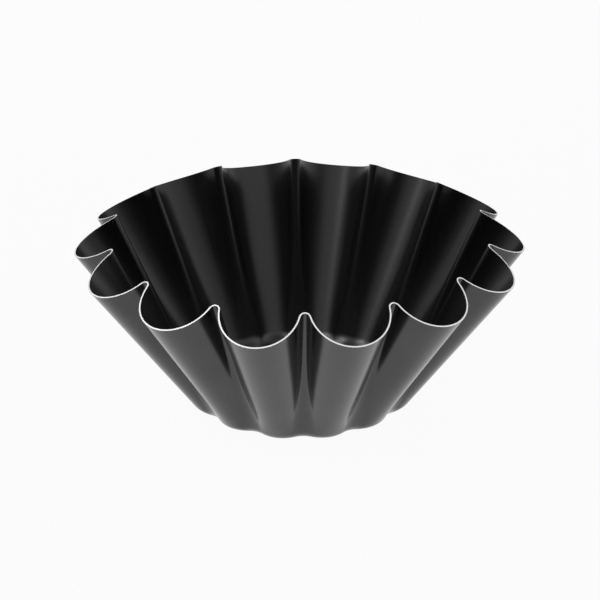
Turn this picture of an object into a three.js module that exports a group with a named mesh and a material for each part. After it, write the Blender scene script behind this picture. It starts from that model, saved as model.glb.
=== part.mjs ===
// Fluted baking mould: one round blank of coated sheet steel, pressed into a flared cup.
// Millimetres, +Z up. The origin is the middle of the underside, which rests on the table.
// A valley, the inward fold between two flutes, faces -Y.

import * as THREE from "three";
import { toCreasedNormals } from "three/addons/utils/BufferGeometryUtils.js";

// The sheet: steel with a release coat on each face.
const STEEL_THICKNESS = 0.7;
const COAT_THICKNESS = 0.05;

// The rim, to the middle of the sheet.
const FLUTES = 14;
const RIM_RADIUS = 110; // axis to the tip of a flute
const RIM_FLUTE_DEPTH = 17.2; // tip of a flute to the bottom of a valley, along the radius
const RIM_VALLEY_ROUND = 2.5; // radius of a valley's fold there
const FLUTE_HEIGHT = 77; // floor to the rim at the tip of a flute
const VALLEY_RISE = 10.1; // how much higher the rim stands in a valley

// The base, to the middle of the sheet, where floor and wall would meet in a sharp corner.
const BASE_RADIUS = 54.8; // axis to that corner under the tip of a flute
const BASE_FLUTE_DEPTH = 1.8; // what is left of the flutes' depth there
const BASE_EDGE_ROUND = 10.1; // radius that rounds the corner
const FOLD_TIGHTNESS = 5; // the folds open out towards the base with this power of the way down

// Facets of each surface.
const VALLEY_FACETS = 2; // on each side of a valley's fold
const TIP_FACETS = 4; // on each side of a flute's tip
const BASE_EDGE_FACETS = 3; // from the floor to the wall
const WALL_FACETS = 2; // from the base edge to the rim

const UP = new THREE.Vector3(0, 0, 1);
const HALF_PITCH = Math.PI / FLUTES;
const FRONT_VALLEY = -Math.PI / 2;
const FLOOR_LEVEL = STEEL_THICKNESS / 2 + COAT_THICKNESS;

// Stations along one flute: a valley's axis is 0, the tip 2 and the next valley's axis 4.
// The fold ends and the tip's arc begins at 1, and it is mirrored beyond the tip.
const FOLD_END = 1;
const TIP = 2;
const NEXT_VALLEY = 4;

// Levels up the sheet: the middle of the floor is 0, and these follow.
const FLOOR_EDGE = 1;
const WALL_FOOT = 2;
const RIM = 3;

const SMALL_STEP = 1e-4; // of a station or a level, for directions along the surface
const CREASE_ANGLE = Math.PI / 4; // sharper edges than this are shaded as edges

// The fold radius of an even wave, whose valleys and tips are equally round.
function evenWaveRound(tipRadius, depth) {
  const valleyRadius = tipRadius - depth;
  const cosine = Math.cos(HALF_PITCH);
  const spread = tipRadius ** 2 + valleyRadius ** 2 - 2 * cosine * tipRadius * valleyRadius;
  const drop = depth * (1 + cosine);
  const fall = 2 * (1 - cosine);
  return (Math.sqrt(drop ** 2 + fall * spread) - drop) / fall;
}

// Half a flute seen from above: the arc of a valley's fold and the arc of the tip, which touch.
// The valley's axis is at angle 0, and the tip's is half a pitch further round.
function fluteArcs(tipRadius, depth, valleyRound) {
  const cosine = Math.cos(HALF_PITCH);
  const valleyCentre = tipRadius - depth + valleyRound;
  const spread = tipRadius ** 2 + valleyCentre ** 2 - 2 * cosine * tipRadius * valleyCentre;
  const tipRound = (spread - valleyRound ** 2) / (2 * (tipRadius - cosine * valleyCentre + valleyRound));
  const tipCentre = tipRadius - tipRound;
  const across = tipCentre * Math.sin(HALF_PITCH);
  const touchAngle = Math.atan2(across, tipCentre * cosine - valleyCentre);
  return { valleyCentre, valleyRound, tipCentre, tipRound, touchAngle };
}

// A point of half a flute's outline, from the valley's axis (station 0) to the tip.
function halfFlutePoint(arcs, station) {
  if (station <= FOLD_END) {
    const angle = THREE.MathUtils.lerp(Math.PI, arcs.touchAngle, station / FOLD_END);
    const x = arcs.valleyCentre + arcs.valleyRound * Math.cos(angle);
    return new THREE.Vector3(x, arcs.valleyRound * Math.sin(angle), 0);
  }
  const share = (station - FOLD_END) / (TIP - FOLD_END);
  const angle = THREE.MathUtils.lerp(arcs.touchAngle - Math.PI, HALF_PITCH, share);
  const x = arcs.tipCentre * Math.cos(HALF_PITCH) + arcs.tipRound * Math.cos(angle);
  const y = arcs.tipCentre * Math.sin(HALF_PITCH) + arcs.tipRound * Math.sin(angle);
  return new THREE.Vector3(x, y, 0);
}

// A point of the whole outline. Stations go on from flute to flute round the mould.
function outlinePoint(arcs, station) {
  const flute = Math.floor(station / NEXT_VALLEY);
  const local = station - flute * NEXT_VALLEY;
  const point = halfFlutePoint(arcs, Math.min(local, NEXT_VALLEY - local));
  if (local > TIP) {
    point.y = -point.y;
  }
  const valley = local > TIP ? flute + 1 : flute;
  return point.applyAxisAngle(UP, FRONT_VALLEY + valley * 2 * HALF_PITCH);
}

const BASE_VALLEY_ROUND = evenWaveRound(BASE_RADIUS, BASE_FLUTE_DEPTH);
const rimArcs = fluteArcs(RIM_RADIUS, RIM_FLUTE_DEPTH, RIM_VALLEY_ROUND);

// A point of the middle of the wall, drawn on down to the corner (rise 0) from the rim (rise 1).
// Tips and valleys are straight lines. The folds between open out to an even wave at the corner.
function wallPoint(station, rise) {
  const tipRadius = THREE.MathUtils.lerp(BASE_RADIUS, RIM_RADIUS, rise);
  const depth = THREE.MathUtils.lerp(BASE_FLUTE_DEPTH, RIM_FLUTE_DEPTH, rise);
  const opening = (1 - rise) ** FOLD_TIGHTNESS;
  const valleyRound = THREE.MathUtils.lerp(RIM_VALLEY_ROUND, BASE_VALLEY_ROUND, opening);
  const point = outlinePoint(fluteArcs(tipRadius, depth, valleyRound), station);
  const radiusLoss = RIM_RADIUS - outlinePoint(rimArcs, station).length();
  const climb = (VALLEY_RISE * radiusLoss) / RIM_FLUTE_DEPTH;
  return point.setZ(FLOOR_LEVEL + (FLUTE_HEIGHT + climb) * rise);
}

// A point of the middle of the sheet: the flat floor, an arc that rounds the corner, and the wall.
function sheetPoint(station, level) {
  const corner = wallPoint(station, 0);
  const inward = new THREE.Vector3(-corner.x, -corner.y, 0).normalize();
  const upward = wallPoint(station, SMALL_STEP).sub(corner).divideScalar(SMALL_STEP);
  const wallLength = upward.length();
  upward.normalize();
  const halfAngle = inward.angleTo(upward) / 2;
  const setback = BASE_EDGE_ROUND / Math.tan(halfAngle);
  const floorEdge = corner.clone().addScaledVector(inward, setback);
  if (level <= FLOOR_EDGE) {
    return new THREE.Vector3(0, 0, FLOOR_LEVEL).lerp(floorEdge, level / FLOOR_EDGE);
  }
  if (level >= WALL_FOOT) {
    const foot = setback / wallLength;
    const share = (level - WALL_FOOT) / (RIM - WALL_FOOT);
    const step = corner.addScaledVector(upward, setback).sub(wallPoint(station, foot));
    const point = wallPoint(station, Math.min(THREE.MathUtils.lerp(foot, 1, share), 1));
    return point.addScaledVector(step, 1 - share);
  }
  const bisector = inward.clone().add(upward).normalize();
  const centre = corner.clone().addScaledVector(bisector, BASE_EDGE_ROUND / Math.sin(halfAngle));
  const spoke = floorEdge.clone().sub(centre);
  const turn = ((Math.PI - 2 * halfAngle) * (level - FLOOR_EDGE)) / (WALL_FOOT - FLOOR_EDGE);
  const point = centre.addScaledVector(spoke, Math.cos(turn));
  return point.addScaledVector(inward, -BASE_EDGE_ROUND * Math.sin(turn));
}

// The direction out of the sheet, away from the mould's inside.
function sheetNormal(station, level) {
  const round = sheetPoint(station + SMALL_STEP, level).sub(sheetPoint(station - SMALL_STEP, level));
  const up = sheetPoint(station, level + SMALL_STEP).sub(sheetPoint(station, level - SMALL_STEP));
  return round.cross(up).normalize();
}

// Evenly spaced values from start up to, but not including, end.
function steps(start, end, count) {
  return Array.from({ length: count }, (_, i) => THREE.MathUtils.lerp(start, end, i / count));
}

const fluteStations = [
  ...steps(0, FOLD_END, VALLEY_FACETS),
  ...steps(FOLD_END, NEXT_VALLEY - FOLD_END, 2 * TIP_FACETS),
  ...steps(NEXT_VALLEY - FOLD_END, NEXT_VALLEY, VALLEY_FACETS),
];
const stations = steps(0, FLUTES * NEXT_VALLEY, FLUTES).flatMap((start) =>
  fluteStations.map((station) => start + station),
);
const levels = [
  ...steps(FLOOR_EDGE, WALL_FOOT, BASE_EDGE_FACETS),
  ...steps(WALL_FOOT, RIM, WALL_FACETS),
  RIM,
];

// The corners of one face of a layer: the middle of the floor, then a ring at each level.
function facePoints(offset) {
  const middle = new THREE.Vector3(0, 0, FLOOR_LEVEL - offset);
  const rings = levels.flatMap((level) =>
    stations.map((station) =>
      sheetPoint(station, level).addScaledVector(sheetNormal(station, level), offset),
    ),
  );
  return [middle, ...rings];
}

// A closed layer of the sheet between two offsets from its middle, outwards being positive.
// Its rim edge is cut square to the sheet.
function layerGeometry(innerOffset, outerOffset) {
  const outer = facePoints(outerOffset);
  const points = [...outer, ...facePoints(innerOffset)];
  const corner = (face, ring, column) => face + 1 + ring * stations.length + (column % stations.length);
  const outerFace = 0;
  const innerFace = outer.length;
  const rimRing = levels.length - 1;
  const triangles = [];
  for (let column = 0; column < stations.length; column += 1) {
    const next = column + 1;
    triangles.push(outerFace, corner(outerFace, 0, next), corner(outerFace, 0, column));
    triangles.push(innerFace, corner(innerFace, 0, column), corner(innerFace, 0, next));
    for (let ring = 0; ring < rimRing; ring += 1) {
      for (const face of [outerFace, innerFace]) {
        const low = corner(face, ring, column);
        const lowNext = corner(face, ring, next);
        const high = corner(face, ring + 1, column);
        const highNext = corner(face, ring + 1, next);
        const quad = [low, lowNext, highNext, low, highNext, high];
        triangles.push(...(face === outerFace ? quad : quad.reverse()));
      }
    }
    const outerRim = corner(outerFace, rimRing, column);
    const outerRimNext = corner(outerFace, rimRing, next);
    const innerRim = corner(innerFace, rimRing, column);
    const innerRimNext = corner(innerFace, rimRing, next);
    triangles.push(outerRim, outerRimNext, innerRimNext, outerRim, innerRimNext, innerRim);
  }
  const geometry = new THREE.BufferGeometry().setFromPoints(points);
  geometry.setIndex(triangles);
  return toCreasedNormals(geometry, CREASE_ANGLE);
}

function layer(name, innerOffset, outerOffset, finish) {
  const mesh = new THREE.Mesh(
    layerGeometry(innerOffset, outerOffset),
    new THREE.MeshStandardMaterial(finish),
  );
  mesh.name = name;
  return mesh;
}

const STEEL_FACE = STEEL_THICKNESS / 2;
const COAT_FACE = STEEL_FACE + COAT_THICKNESS;

const mould = new THREE.Group();
mould.name = "fluted_mould";
mould.add(
  layer("steel_shell", -STEEL_FACE, STEEL_FACE, { color: 0xd6d7d8, roughness: 0.3, metalness: 1 }),
  layer("inner_coating", -COAT_FACE, -STEEL_FACE, { color: 0x1b1b1c, roughness: 0.38, metalness: 0 }),
  layer("outer_coating", STEEL_FACE, COAT_FACE, { color: 0x2b2b2c, roughness: 0.34, metalness: 0 }),
);

export default mould;
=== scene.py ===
import math

import bpy
import numpy as np
from bpy.props import FloatProperty, FloatVectorProperty, IntProperty, PointerProperty
from mathutils import Matrix, Vector


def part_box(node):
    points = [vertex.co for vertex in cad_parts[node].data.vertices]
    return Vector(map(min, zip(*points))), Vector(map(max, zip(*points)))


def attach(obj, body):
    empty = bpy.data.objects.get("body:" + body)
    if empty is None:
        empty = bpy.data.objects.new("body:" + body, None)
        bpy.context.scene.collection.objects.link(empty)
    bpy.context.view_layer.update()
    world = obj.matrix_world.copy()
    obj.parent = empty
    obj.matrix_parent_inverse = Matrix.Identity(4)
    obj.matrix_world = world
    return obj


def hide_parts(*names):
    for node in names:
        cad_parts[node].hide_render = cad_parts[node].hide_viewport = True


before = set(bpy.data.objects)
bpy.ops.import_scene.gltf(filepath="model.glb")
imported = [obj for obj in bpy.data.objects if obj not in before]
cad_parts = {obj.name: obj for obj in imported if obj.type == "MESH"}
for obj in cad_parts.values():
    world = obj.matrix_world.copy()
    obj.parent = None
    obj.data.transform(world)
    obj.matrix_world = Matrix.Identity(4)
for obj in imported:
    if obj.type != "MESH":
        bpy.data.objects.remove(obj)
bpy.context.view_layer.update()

bl_info = {
    "name": "Fluted Mould",
    "version": (1, 0, 0),
    "blender": (4, 5, 0),
    "location": "View3D > Sidebar > Fluted Mould",
    "description": "A flared mould with fourteen flutes, pressed from coated sheet steel",
    "category": "Mesh",
}

# Stations round the sheet: each flute runs from one valley's axis (0) over its tip (2) to the next
# valley's axis (4). A valley's fold ends where the arc of the tip begins, at 1 and at 3.
FOLD_END = 1.0
TIP = 2.0
NEXT_VALLEY = 4.0

# Levels up the sheet, from the middle of the floor (0).
FLOOR_EDGE = 1.0
WALL_FOOT = 2.0
RIM = 3.0

# Grid steps of the modelled sheet.
FOLD_STEPS = 8  # on each side of a valley's fold
TIP_STEPS = 16  # on each side of a flute's tip
FLOOR_STEPS = 8
BASE_EDGE_STEPS = 14
WALL_STEPS = 22

SMALL_STEP = 1e-4  # of a station or a level, for directions along the surface
CREASE_ANGLE = math.radians(40)  # sharper edges than this are shaded as edges
FIT_TOLERANCE = 0.0005  # between the box of a layer and that of its solid

# Patterns of the finishes, as waves in a metre or as waves round the mould and up the sheet.
PATCH_WAVES = 38.0
GRAIN_WAVES = 2600.0
PRESS_MARK_WAVES = (700.0, 5.0, 1.0)
SHEAR_MARK_WAVES = (2400.0, 40.0, 1.0)

# Darkest and lightest share of a finish's colour, its smoothest and roughest spots, how much of a metal
# it is, and how strong and how high its fine relief is.
COAT_TINTS = (0.94, 1.06)
STEEL_TINTS = (0.85, 1.1)
INSIDE_ROUGHNESS = (0.27, 0.33)
OUTSIDE_ROUGHNESS = (0.18, 0.24)
STEEL_ROUGHNESS = (0.5, 0.65)
INSIDE_METAL = 0.0
OUTSIDE_METAL = 1.0
STEEL_METAL = 0.4
COAT_RELIEF = (0.25, 0.000001)
STEEL_RELIEF = (0.4, 0.00002)

# Values of a pattern at which a finish has its two tints, or its smoothest and its roughest spots.
COAT_TINT_SPAN = (0.3, 0.7)
COAT_ROUGHNESS_SPAN = (0.7, 1.3)  # of two patterns added up
STEEL_TINT_SPAN = (0.25, 0.75)
STEEL_ROUGHNESS_SPAN = (0.3, 0.7)

# Finer and finer waves laid over a pattern, and how strong they are in the patches.
PATCH_DETAIL = 3.0
PATCH_DETAIL_SHARE = 0.55
GRAIN_DETAIL = 2.0
PRESS_MARK_DETAIL = 3.0
SHEAR_MARK_DETAIL = 4.0

# The floor's rings round its middle face, and its gloss.
FLOOR_RINGS = (0.3, 1.0, 3.0)
FLOOR_SIDES = 64
FLOOR_DROP = 0.0002  # under the mould, so that the two share no face
FLOOR_ROUGHNESS = 0.12
FLOOR_SPECULAR = 1.0
FLOOR_INDEX = 1.9

SENSOR_WIDTH = 36.0  # in millimetres
NEAREST_SEEN = 0.05
FARTHEST_SEEN = 100.0

# A light tent hangs round the studio. It brightens between its foot and its full height, and dims
# again up to its top, all as elevations in degrees.
TENT_FOOT = 30
TENT_FULL = 46
TENT_FADING = 58
TENT_TOP = 78
TENT_STRENGTH = 1.0
TENT_TOP_SHARE = 0.4  # of the strength, left overhead

# Lamps and soft lights round the studio: azimuth from the front towards the right and elevation in
# degrees, the angle that a lamp covers or how tight a soft light is, and the strength.
LAMPS = {
    "key_lamp": (-64, 57, 24, 0.6),
    "side_lamp": (-116, 60, 24, 0.5),
}
SOFT_LIGHTS = {
    "left": (-92, 27, 14, 0.6),
    "right": (92, 30, 10, 0.8),
    "left_wall": (-118, 5, 20, 1.0),
    "right_wall": (108, 5, 20, 1.0),
    "low_right": (60, 2, 60, 2.0),
    "backdrop": (180, 4, 30, 2.0),
}


class MouldSheet(bpy.types.PropertyGroup):
    """Sizes of the pressed sheet, to the middle of the steel"""

    flutes: IntProperty(name="Flutes", description="Flutes round the wall", default=14, min=3)
    rim_radius: FloatProperty(
        name="Rim radius", description="Axis to the tip of a flute", default=0.110, unit="LENGTH"
    )
    rim_flute_depth: FloatProperty(
        name="Rim flute depth",
        description="Tip of a flute to the bottom of a valley at the rim",
        default=0.0172,
        unit="LENGTH",
    )
    rim_valley_round: FloatProperty(
        name="Rim valley round",
        description="Radius of a valley's fold at the rim",
        default=0.0025,
        unit="LENGTH",
    )
    flute_height: FloatProperty(
        name="Flute height", description="Floor to the rim at a tip", default=0.077, unit="LENGTH"
    )
    valley_rise: FloatProperty(
        name="Valley rise",
        description="How much higher the rim stands in a valley",
        default=0.0101,
        unit="LENGTH",
    )
    base_radius: FloatProperty(
        name="Base radius",
        description="Axis to the corner of floor and wall under a tip",
        default=0.0548,
        unit="LENGTH",
    )
    base_flute_depth: FloatProperty(
        name="Base flute depth",
        description="What is left of the flutes' depth at the base",
        default=0.0018,
        unit="LENGTH",
    )
    fold_tightness: FloatProperty(
        name="Fold tightness",
        description="How far down the wall the folds stay tight, as a power",
        default=5.0,
    )
    base_edge_round: FloatProperty(
        name="Base edge round",
        description="Radius between floor and wall",
        default=0.0101,
        unit="LENGTH",
    )
    steel_thickness: FloatProperty(
        name="Steel thickness", description="Bare sheet", default=0.0007, unit="LENGTH"
    )
    coat_thickness: FloatProperty(
        name="Coat thickness", description="One release coat", default=0.00005, unit="LENGTH"
    )


class MouldFinish(bpy.types.PropertyGroup):
    """Colours of the steel and of its two release coats"""

    steel: FloatVectorProperty(
        name="Cut steel", description="Bare sheared edge", default=(0.93, 0.93, 0.92), subtype="COLOR"
    )
    inside_coat: FloatVectorProperty(
        name="Inside coat",
        description="Coat on the food side",
        default=(0.0025, 0.0025, 0.0026),
        subtype="COLOR",
    )
    outside_coat: FloatVectorProperty(
        name="Outside coat", description="Coat outside", default=(0.07, 0.07, 0.071), subtype="COLOR"
    )


class MouldStage(bpy.types.PropertyGroup):
    """The floor and the camera"""

    floor: FloatVectorProperty(
        name="Floor", description="Colour under its white", default=(0.45, 0.45, 0.45), subtype="COLOR"
    )
    floor_radius: FloatProperty(
        name="Floor radius", description="Size of the floor", default=20.0, unit="LENGTH"
    )
    floor_white_share: FloatProperty(
        name="Floor white share",
        description="How much of the floor is plain white to the camera and in reflections",
        default=0.95,
        min=0.0,
        max=1.0,
        subtype="FACTOR",
    )
    camera_azimuth: FloatProperty(
        name="Camera azimuth",
        description="From the front towards the right",
        default=math.radians(-1.36),
        subtype="ANGLE",
    )
    camera_elevation: FloatProperty(
        name="Camera elevation",
        description="Above the horizon",
        default=math.radians(25.52),
        subtype="ANGLE",
    )
    camera_roll: FloatProperty(
        name="Camera roll", description="Tilt of the picture", default=math.radians(0.18), subtype="ANGLE"
    )
    camera_distance: FloatProperty(
        name="Camera distance", description="To the point looked at", default=1.1465, unit="LENGTH"
    )
    camera_height: FloatProperty(
        name="Target height", description="Of the point looked at", default=0.0497, unit="LENGTH"
    )
    focal_length: FloatProperty(
        name="Focal length", description="Of the lens, in millimetres", default=138.9, unit="CAMERA"
    )


def even_wave_round(sheet):
    """Fold radius of an even wave at the base: the one at which valleys and tips are equally round."""
    tip_radius = sheet.base_radius
    valley_radius = tip_radius - sheet.base_flute_depth
    cosine = math.cos(math.pi / sheet.flutes)
    spread = tip_radius**2 + valley_radius**2 - 2 * cosine * tip_radius * valley_radius
    drop = sheet.base_flute_depth * (1 + cosine)
    fall = 2 * (1 - cosine)
    return (math.sqrt(drop**2 + fall * spread) - drop) / fall


def flute_outline(sheet, station, tip_radius, depth, fold_round):
    """Outline of the fluted wall seen from above, at the given stations.

    Half a flute is two arcs that touch: the fold of the valley, centred on the valley's axis, then the
    arc of the tip, centred on the tip's axis. Beyond the tip it is mirrored, and each flute is turned
    by one pitch from the last. A valley faces the front.
    """
    half_pitch = math.pi / sheet.flutes
    cosine = math.cos(half_pitch)
    fold_centre = tip_radius - depth + fold_round
    spread = tip_radius**2 + fold_centre**2 - 2 * cosine * tip_radius * fold_centre
    tip_round = (spread - fold_round**2) / (2 * (tip_radius - cosine * fold_centre + fold_round))
    tip_centre = tip_radius - tip_round
    across = tip_centre * math.sin(half_pitch)
    touch = np.arctan2(across, tip_centre * cosine - fold_centre)

    flute = np.floor(station / NEXT_VALLEY)
    local = station - flute * NEXT_VALLEY
    past_tip = local > TIP
    half = np.minimum(local, NEXT_VALLEY - local)
    on_fold = half <= FOLD_END
    fold_angle = math.pi + (touch - math.pi) * half / FOLD_END
    tip_share = (half - FOLD_END) / (TIP - FOLD_END)
    tip_angle = (touch - math.pi) * (1 - tip_share) + half_pitch * tip_share
    fold_x = fold_centre + fold_round * np.cos(fold_angle)
    fold_y = fold_round * np.sin(fold_angle)
    tip_x = tip_centre * cosine + tip_round * np.cos(tip_angle)
    tip_y = across + tip_round * np.sin(tip_angle)
    x = np.where(on_fold, fold_x, tip_x)
    y = np.where(on_fold, fold_y, tip_y) * np.where(past_tip, -1, 1)
    turn = -math.pi / 2 + (flute + past_tip) * 2 * half_pitch
    return x * np.cos(turn) - y * np.sin(turn), x * np.sin(turn) + y * np.cos(turn)


def unit(vectors):
    """The vectors at length one."""
    return vectors / np.linalg.norm(vectors, axis=-1, keepdims=True)


def wall_surface(sheet, station, rise):
    """Middle of the wall, from the rim (rise 1) on down to a sharp corner with the floor (rise 0).

    Tips and valleys are straight lines, so the tips' radius and the flutes' depth grow evenly with the
    rise. The folds open out to an even wave at the base, as a power of the way down. The rim climbs from
    tip to valley in step with the loss of radius, and each height below climbs in proportion.
    """
    rim_x, rim_y = flute_outline(
        sheet, station, sheet.rim_radius, sheet.rim_flute_depth, sheet.rim_valley_round
    )
    climb = sheet.valley_rise * (sheet.rim_radius - np.hypot(rim_x, rim_y)) / sheet.rim_flute_depth
    tip_radius = sheet.base_radius + (sheet.rim_radius - sheet.base_radius) * rise
    depth = sheet.base_flute_depth + (sheet.rim_flute_depth - sheet.base_flute_depth) * rise
    opening = (1 - rise) ** sheet.fold_tightness
    fold_round = sheet.rim_valley_round + (even_wave_round(sheet) - sheet.rim_valley_round) * opening
    x, y = flute_outline(sheet, station, tip_radius, depth, fold_round)
    height = floor_level(sheet) + (sheet.flute_height + climb) * rise
    return np.stack([x, y, height], axis=-1)


def floor_level(sheet):
    """Height of the middle of the floor's sheet, which lies on its outside coat."""
    return sheet.steel_thickness / 2 + sheet.coat_thickness


def sheet_surface(sheet, station, level):
    """Middle of the pressed sheet over the grid of stations (round) and levels (up).

    Each station has one profile: straight along the floor, an arc of the base edge's radius that touches
    floor and wall, and then up the wall to the rim. The wall starts at the arc's end, and the small step
    from there to the wall's own line is eased out evenly up to the rim.
    """
    corner = wall_surface(sheet, station, 0.0)
    upward = (wall_surface(sheet, station, SMALL_STEP) - corner) / SMALL_STEP
    wall_length = np.linalg.norm(upward, axis=-1, keepdims=True)
    upward = upward / wall_length
    inward = unit(corner * (-1, -1, 0))
    half_angle = np.arccos(np.sum(inward * upward, axis=-1, keepdims=True)) / 2
    radius = sheet.base_edge_round
    setback = radius / np.tan(half_angle)
    floor_edge = corner + inward * setback
    centre = corner + unit(inward + upward) * radius / np.sin(half_angle)

    foot = (setback / wall_length)[:, 0]
    share = np.clip((level[:, None] - WALL_FOOT) / (RIM - WALL_FOOT), 0, 1)
    step = corner + upward * setback - wall_surface(sheet, station, foot)
    on_wall = wall_surface(sheet, station, foot + (1 - foot) * share) + step * (1 - share[..., None])
    level = level[:, None, None]
    middle = np.array([0, 0, floor_level(sheet)])
    on_floor = middle + (floor_edge - middle) * level / FLOOR_EDGE
    turn = (math.pi - 2 * half_angle) * (level - FLOOR_EDGE) / (WALL_FOOT - FLOOR_EDGE)
    on_edge = centre + (floor_edge - centre) * np.cos(turn) - inward * radius * np.sin(turn)
    return np.where(level <= FLOOR_EDGE, on_floor, np.where(level < WALL_FOOT, on_edge, on_wall))


def sheet_normals(sheet, station, level):
    """Directions out of the sheet: the way round crossed with the way up, at length one."""
    ahead = sheet_surface(sheet, station + SMALL_STEP, level)
    behind = sheet_surface(sheet, station - SMALL_STEP, level)
    above = sheet_surface(sheet, station, level + SMALL_STEP)
    below = sheet_surface(sheet, station, level - SMALL_STEP)
    return unit(np.cross(ahead - behind, above - below))


def spaced(*stretches):
    """Evenly spaced values along stretches of (start, end, count), without each stretch's end."""
    parts = [np.linspace(start, end, count, endpoint=False) for start, end, count in stretches]
    return np.concatenate(parts)


def sheet_grid(sheet):
    """Stations and levels of the modelled sheet. The middle of the floor isn't a level, but a point."""
    one_flute = spaced(
        (0, FOLD_END, FOLD_STEPS),
        (FOLD_END, NEXT_VALLEY - FOLD_END, 2 * TIP_STEPS),
        (NEXT_VALLEY - FOLD_END, NEXT_VALLEY, FOLD_STEPS),
    )
    stations = np.add.outer(np.arange(sheet.flutes) * NEXT_VALLEY, one_flute).ravel()
    levels = spaced(
        (0, FLOOR_EDGE, FLOOR_STEPS),
        (FLOOR_EDGE, WALL_FOOT, BASE_EDGE_STEPS),
        (WALL_FOOT, RIM, WALL_STEPS),
    )
    return stations, np.append(levels[1:], RIM)


def layer_mesh(name, sheet, inner_offset, outer_offset):
    """Closed mesh of one layer of the sheet, between two offsets along the sheet's normals.

    Both faces are the same grid round a middle point, the inner one turned over, and a strip cut square
    to the sheet joins them at the rim. The UV map runs once round the mould and once up the sheet.
    """
    stations, levels = sheet_grid(sheet)
    surface = sheet_surface(sheet, stations, levels)
    normals = sheet_normals(sheet, stations, levels)
    rows, columns = len(levels), len(stations)
    face_size = 1 + rows * columns
    points = np.concatenate(
        [
            np.vstack([[0, 0, floor_level(sheet) - offset], (surface + normals * offset).reshape(-1, 3)])
            for offset in (outer_offset, inner_offset)
        ]
    )

    row, column = np.meshgrid(np.arange(rows - 1), np.arange(columns), indexing="ij")
    quad_rows = np.stack([row, row, row + 1, row + 1], axis=-1).reshape(-1, 4)
    quad_columns = np.stack([column, column + 1, column + 1, column], axis=-1).reshape(-1, 4)
    outer_quads = 1 + quad_rows * columns + quad_columns % columns
    inner_quads = face_size + outer_quads[:, ::-1]
    here = np.arange(columns)
    after = (here + 1) % columns
    outer_rim = 1 + (rows - 1) * columns
    rim_quads = np.stack([here, after, after + face_size, here + face_size], axis=-1) + outer_rim
    outer_fan = np.stack([np.zeros_like(here), 1 + after, 1 + here], axis=-1)
    inner_fan = face_size + outer_fan[:, [0, 2, 1]]
    quads = np.concatenate([outer_quads, inner_quads, rim_quads])
    fans = np.concatenate([outer_fan, inner_fan])

    round_share = np.append(stations, sheet.flutes * NEXT_VALLEY) / (sheet.flutes * NEXT_VALLEY)
    up_share = levels / RIM
    face_uv = np.stack([round_share[quad_columns], up_share[quad_rows]], axis=-1)
    rim_round = np.stack([round_share[here], round_share[here + 1]] * 2, axis=-1)[:, [0, 1, 3, 2]]
    rim_uv = np.stack([rim_round, np.ones_like(rim_round)], axis=-1)
    fan_middle = (round_share[here] + round_share[here + 1]) / 2
    fan_round = np.stack([fan_middle, round_share[here + 1], round_share[here]], axis=-1)
    fan_up = np.broadcast_to([0, up_share[0], up_share[0]], fan_round.shape)
    fan_uv = np.stack([fan_round, fan_up], axis=-1)
    corner_uv = [face_uv, face_uv[:, ::-1], rim_uv, fan_uv, fan_uv[:, [0, 2, 1]]]

    mesh = bpy.data.meshes.new(name)
    corners = np.concatenate([quads.ravel(), fans.ravel()])
    starts = np.concatenate([np.arange(len(quads)) * 4, quads.size + np.arange(len(fans)) * 3])
    mesh.vertices.add(len(points))
    mesh.vertices.foreach_set("co", points.ravel())
    mesh.loops.add(len(corners))
    mesh.loops.foreach_set("vertex_index", corners)
    mesh.polygons.add(len(starts))
    mesh.polygons.foreach_set("loop_start", starts)
    mesh.polygons.foreach_set("use_smooth", np.ones(len(starts), dtype=bool))
    uv_map = mesh.uv_layers.new(name="round_and_up")
    uv_map.uv.foreach_set("vector", np.concatenate([part.reshape(-1, 2) for part in corner_uv]).ravel())
    mesh.update(calc_edges=True)
    mesh.set_sharp_from_angle(angle=CREASE_ANGLE)
    if mesh.validate():
        raise RuntimeError(f"{name}: the layer's faces are not a clean mesh")
    return mesh


def add_node(tree, kind, **inputs):
    """A shader node whose named inputs are set to values or linked to other nodes' outputs."""
    node = tree.nodes.new(kind)
    for name, value in inputs.items():
        socket = node.inputs[name.replace("_", " ")]
        if isinstance(value, bpy.types.NodeSocket):
            tree.links.new(value, socket)
        else:
            socket.default_value = value
    return node


def add_math(tree, operation, *values):
    """The output of a maths node on values or other nodes' outputs."""
    node = tree.nodes.new("ShaderNodeMath")
    node.operation = operation
    for socket, value in zip(node.inputs, values):
        if isinstance(value, bpy.types.NodeSocket):
            tree.links.new(value, socket)
        else:
            socket.default_value = value
    return node.outputs["Value"]


def new_material(name):
    """An empty node material with its output node."""
    material = bpy.data.materials.new(name)
    material.use_nodes = True
    material.node_tree.nodes.clear()
    return material, material.node_tree, material.node_tree.nodes.new("ShaderNodeOutputMaterial")


def place_layer(name, node, mesh, material):
    """Puts a layer into the scene in place of its solid, riding on the mould's one body."""
    low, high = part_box(node)
    points = np.empty(len(mesh.vertices) * 3, dtype=np.float32)
    mesh.vertices.foreach_get("co", points)
    points = points.reshape(-1, 3)
    misfit = max(np.abs(points.min(0) - low).max(), np.abs(points.max(0) - high).max())
    if misfit > FIT_TOLERANCE:
        raise RuntimeError(f"{name}: the layer doesn't lie where {node} is")
    layer = bpy.data.objects.new(name, mesh)
    mesh.materials.append(material)
    bpy.context.scene.collection.objects.link(layer)
    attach(layer, "root")
    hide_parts(node)


def noise(tree, place, **settings):
    """The value of a noise pattern at a place."""
    return add_node(tree, "ShaderNodeTexNoise", Vector=place, **settings).outputs["Fac"]


def stretched_noise(tree, place, waves, detail):
    """A noise pattern with its own number of waves along each axis of a place."""
    stretched = add_node(tree, "ShaderNodeMapping", Vector=place, Scale=waves)
    return noise(tree, stretched.outputs["Vector"], Scale=1.0, Detail=detail)


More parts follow.
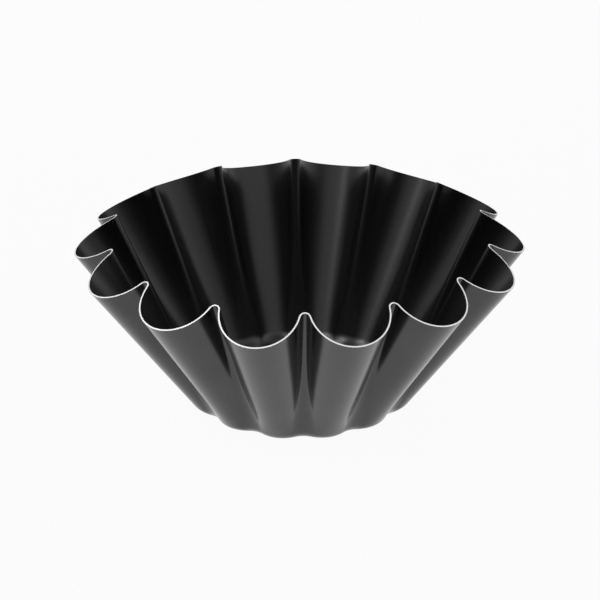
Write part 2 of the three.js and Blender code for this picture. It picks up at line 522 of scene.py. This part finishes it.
def ranged(tree, value, span, results, easing="LINEAR"):
    """A value taken over from its span to a span of results, and held at the ends."""
    start, end = span
    before, after = results
    change = add_node(
        tree,
        "ShaderNodeMapRange",
        Value=value,
        From_Min=start,
        From_Max=end,
        To_Min=before,
        To_Max=after,
    )
    change.interpolation_type = easing
    return change.outputs["Result"]


def tinted(tree, pattern, span, colour, tints):
    """A colour that goes from its darkest to its lightest tint as a pattern goes through its span."""
    ramp = add_node(tree, "ShaderNodeValToRGB", Fac=pattern)
    for stop, position, tint in zip(ramp.color_ramp.elements, span, tints):
        stop.position = position
        stop.color = (*[min(1, part * tint) for part in colour], 1)
    return ramp.outputs["Color"]


def add_finish(tree, output, colour, roughness, metal, height, relief):
    """A satin surface with a fine relief, as the material's surface."""
    strength, distance = relief
    bump = add_node(tree, "ShaderNodeBump", Height=height, Strength=strength, Distance=distance)
    surface = add_node(
        tree,
        "ShaderNodeBsdfPrincipled",
        Base_Color=colour,
        Roughness=roughness,
        Metallic=metal,
        Normal=bump.outputs["Normal"],
    )
    tree.links.new(surface.outputs["BSDF"], output.inputs["Surface"])


def release_coat(name, colour, roughness, metal):
    """Dark release coat: satin, faintly patchy, with fine press marks that run up the flutes."""
    material, tree, output = new_material(name)
    where = add_node(tree, "ShaderNodeTexCoord")
    place = where.outputs["Object"]
    patches = noise(tree, place, Scale=PATCH_WAVES, Detail=PATCH_DETAIL, Roughness=PATCH_DETAIL_SHARE)
    grain = noise(tree, place, Scale=GRAIN_WAVES, Detail=GRAIN_DETAIL)
    marks = stretched_noise(tree, where.outputs["UV"], PRESS_MARK_WAVES, PRESS_MARK_DETAIL)
    tint = tinted(tree, patches, COAT_TINT_SPAN, colour, COAT_TINTS)
    satin = ranged(tree, add_math(tree, "ADD", patches, marks), COAT_ROUGHNESS_SPAN, roughness)
    height = add_math(tree, "ADD", grain, marks)
    add_finish(tree, output, tint, satin, metal, height, COAT_RELIEF)
    return material


def cut_steel(colour):
    """Bare sheared steel: bright, with fine marks of the shear across the edge."""
    material, tree, output = new_material("cut_steel")
    where = add_node(tree, "ShaderNodeTexCoord")
    marks = stretched_noise(tree, where.outputs["UV"], SHEAR_MARK_WAVES, SHEAR_MARK_DETAIL)
    tint = tinted(tree, marks, STEEL_TINT_SPAN, colour, STEEL_TINTS)
    satin = ranged(tree, marks, STEEL_ROUGHNESS_SPAN, STEEL_ROUGHNESS)
    add_finish(tree, output, tint, satin, STEEL_METAL, marks, STEEL_RELIEF)
    return material


class MOULD_OT_press_steel(bpy.types.Operator):
    """Adds the pressed steel sheet, which shows at the rim's cut edge"""

    bl_idname = "fluted_mould.press_steel"
    bl_label = "Pressed Steel"

    def execute(self, context):
        sheet = context.scene.mould_sheet
        half = sheet.steel_thickness / 2
        mesh = layer_mesh("pressed_steel", sheet, -half, half)
        steel = cut_steel(context.scene.mould_finish.steel)
        place_layer("pressed_steel", "steel_shell", mesh, steel)
        return {"FINISHED"}


class MOULD_OT_coat_inside(bpy.types.Operator):
    """Adds the release coat of the food side"""

    bl_idname = "fluted_mould.coat_inside"
    bl_label = "Inside Coat"

    def execute(self, context):
        sheet = context.scene.mould_sheet
        half = sheet.steel_thickness / 2
        mesh = layer_mesh("inside_coat", sheet, -half - sheet.coat_thickness, -half)
        colour = context.scene.mould_finish.inside_coat
        coat = release_coat("inside_release_coat", colour, INSIDE_ROUGHNESS, INSIDE_METAL)
        place_layer("inside_coat", "inner_coating", mesh, coat)
        return {"FINISHED"}


class MOULD_OT_coat_outside(bpy.types.Operator):
    """Adds the release coat of the outside"""

    bl_idname = "fluted_mould.coat_outside"
    bl_label = "Outside Coat"

    def execute(self, context):
        sheet = context.scene.mould_sheet
        half = sheet.steel_thickness / 2
        mesh = layer_mesh("outside_coat", sheet, half, half + sheet.coat_thickness)
        colour = context.scene.mould_finish.outside_coat
        coat = release_coat("outside_release_coat", colour, OUTSIDE_ROUGHNESS, OUTSIDE_METAL)
        place_layer("outside_coat", "outer_coating", mesh, coat)
        return {"FINISHED"}


def bearing(azimuth, elevation):
    """Direction from the mould: azimuth from the front towards the right, elevation above the horizon."""
    level = math.cos(elevation)
    return Vector((math.sin(azimuth) * level, -math.cos(azimuth) * level, math.sin(elevation)))


def lay_floor(stage):
    """Round floor just under the mould: rings of points round a middle face, white where it is seen."""
    radii = np.array([*FLOOR_RINGS, stage.floor_radius])
    angles = np.linspace(0, 2 * math.pi, FLOOR_SIDES, endpoint=False)
    rings = np.multiply.outer(radii, np.exp(1j * angles)).ravel()
    points = np.column_stack([rings.real, rings.imag, np.full(len(rings), -FLOOR_DROP)])
    here = np.arange(len(angles))
    after = (here + 1) % len(angles)
    starts = np.arange(len(radii) - 1)[:, None] * len(angles)
    outer = starts + len(angles)
    quads = np.stack([starts + here, outer + here, outer + after, starts + after], axis=-1)
    mesh = bpy.data.meshes.new("floor")
    mesh.from_pydata(points.tolist(), [], [here.tolist(), *quads.reshape(-1, 4).tolist()])
    material, tree, output = new_material("pale_floor")
    paint = add_node(
        tree,
        "ShaderNodeBsdfPrincipled",
        Base_Color=(*stage.floor, 1),
        Roughness=FLOOR_ROUGHNESS,
        Specular_IOR_Level=FLOOR_SPECULAR,
        IOR=FLOOR_INDEX,
    )
    white = add_node(tree, "ShaderNodeEmission", Color=(1, 1, 1, 1), Strength=1.0)
    path = add_node(tree, "ShaderNodeLightPath")
    mirrored = add_math(tree, "MAXIMUM", path.outputs["Is Glossy Ray"], path.outputs["Is Transmission Ray"])
    seen = add_math(tree, "MAXIMUM", path.outputs["Is Camera Ray"], mirrored)
    share = add_math(tree, "MULTIPLY", seen, stage.floor_white_share)
    mixed = add_node(tree, "ShaderNodeMixShader", Fac=share)
    tree.links.new(paint.outputs["BSDF"], mixed.inputs[1])
    tree.links.new(white.outputs["Emission"], mixed.inputs[2])
    tree.links.new(mixed.outputs["Shader"], output.inputs["Surface"])
    mesh.materials.append(material)
    floor = bpy.data.objects.new("floor", mesh)
    bpy.context.scene.collection.objects.link(floor)


def fade(tree, height, elevations, strengths):
    """A smooth change between two elevations in degrees, where a direction's height is their sine."""
    heights = [math.sin(math.radians(elevation)) for elevation in elevations]
    return ranged(tree, height, heights, strengths, "SMOOTHSTEP")


def light_studio():
    """Wide lamps, and a room with a light tent and soft lights, each fading out round its own bearing."""
    for name, (azimuth, elevation, softness, strength) in LAMPS.items():
        light = bpy.data.lights.new(name, "SUN")
        light.energy = strength
        light.angle = math.radians(softness)
        lamp = bpy.data.objects.new(name, light)
        lamp.rotation_mode = "QUATERNION"
        towards = bearing(math.radians(azimuth), math.radians(elevation))
        lamp.rotation_quaternion = (-towards).to_track_quat("-Z", "Y")
        bpy.context.scene.collection.objects.link(lamp)

    world = bpy.data.worlds.new("studio")
    bpy.context.scene.world = world
    world.use_nodes = True
    tree = world.node_tree
    tree.nodes.clear()
    where = add_node(tree, "ShaderNodeTexCoord")
    height = add_node(tree, "ShaderNodeSeparateXYZ", Vector=where.outputs["Generated"]).outputs["Z"]
    rise = fade(tree, height, (TENT_FOOT, TENT_FULL), (0.0, TENT_STRENGTH))
    dimming = fade(tree, height, (TENT_FADING, TENT_TOP), (1.0, TENT_TOP_SHARE))
    total = add_math(tree, "MULTIPLY", rise, dimming)
    for name, (azimuth, elevation, tightness, strength) in SOFT_LIGHTS.items():
        facing = add_node(tree, "ShaderNodeVectorMath")
        facing.label = name
        facing.operation = "DOT_PRODUCT"
        tree.links.new(where.outputs["Generated"], facing.inputs[0])
        facing.inputs[1].default_value = bearing(math.radians(azimuth), math.radians(elevation))
        away = add_math(tree, "SUBTRACT", facing.outputs["Value"], 1.0)
        fall = add_math(tree, "EXPONENT", add_math(tree, "MULTIPLY", away, tightness))
        lobe = add_math(tree, "MULTIPLY", fall, strength)
        total = add_math(tree, "ADD", total, lobe)
    sky = add_node(tree, "ShaderNodeBackground", Strength=total, Color=(1, 1, 1, 1))
    output = tree.nodes.new("ShaderNodeOutputWorld")
    tree.links.new(sky.outputs["Background"], output.inputs["Surface"])


def set_camera(stage):
    """The camera stands on its bearing, looks at a point on the axis and is rolled about its view."""
    lens = bpy.data.cameras.new("camera")
    lens.sensor_width = SENSOR_WIDTH
    lens.lens = stage.focal_length
    lens.clip_start = NEAREST_SEEN
    lens.clip_end = FARTHEST_SEEN
    camera = bpy.data.objects.new("camera", lens)
    back = bearing(stage.camera_azimuth, stage.camera_elevation)
    target = Vector((0, 0, stage.camera_height))
    turn = (-back).to_track_quat("-Z", "Y").to_matrix().to_4x4()
    roll = Matrix.Rotation(-stage.camera_roll, 4, "Z")
    camera.matrix_world = Matrix.Translation(target + back * stage.camera_distance) @ turn @ roll
    bpy.context.scene.collection.objects.link(camera)
    bpy.context.scene.camera = camera


class MOULD_OT_set_stage(bpy.types.Operator):
    """Adds the floor, the lights and the camera"""

    bl_idname = "fluted_mould.set_stage"
    bl_label = "Stage"

    def execute(self, context):
        stage = context.scene.mould_stage
        lay_floor(stage)
        light_studio()
        set_camera(stage)
        context.scene.view_settings.view_transform = "Standard"
        return {"FINISHED"}


class MOULD_PT_sidebar(bpy.types.Panel):
    """Sizes, finishes and steps of the mould"""

    bl_idname = "MOULD_PT_sidebar"
    bl_label = "Fluted Mould"
    bl_space_type = "VIEW_3D"
    bl_region_type = "UI"
    bl_category = "Fluted Mould"

    def draw(self, context):
        scene = context.scene
        for group in (scene.mould_sheet, scene.mould_finish, scene.mould_stage):
            box = self.layout.box()
            for name in group.__annotations__:
                box.prop(group, name)
        for step in STEPS:
            self.layout.operator(step.bl_idname)


STEPS = (MOULD_OT_set_stage, MOULD_OT_press_steel, MOULD_OT_coat_inside, MOULD_OT_coat_outside)
CLASSES = (MouldSheet, MouldFinish, MouldStage, *STEPS, MOULD_PT_sidebar)


def register():
    """Makes the groups, the steps and the panel known to Blender."""
    for kind in CLASSES:
        bpy.utils.register_class(kind)
    bpy.types.Scene.mould_sheet = PointerProperty(type=MouldSheet)
    bpy.types.Scene.mould_finish = PointerProperty(type=MouldFinish)
    bpy.types.Scene.mould_stage = PointerProperty(type=MouldStage)


def unregister():
    """Takes back what register made known."""
    del bpy.types.Scene.mould_stage
    del bpy.types.Scene.mould_finish
    del bpy.types.Scene.mould_sheet
    for kind in reversed(CLASSES):
        bpy.utils.unregister_class(kind)


def main():
    """Builds the stage and the three layers."""
    register()
    bpy.ops.fluted_mould.set_stage()
    bpy.ops.fluted_mould.press_steel()
    bpy.ops.fluted_mould.coat_inside()
    bpy.ops.fluted_mould.coat_outside()


if __name__ == "__main__":
    main()
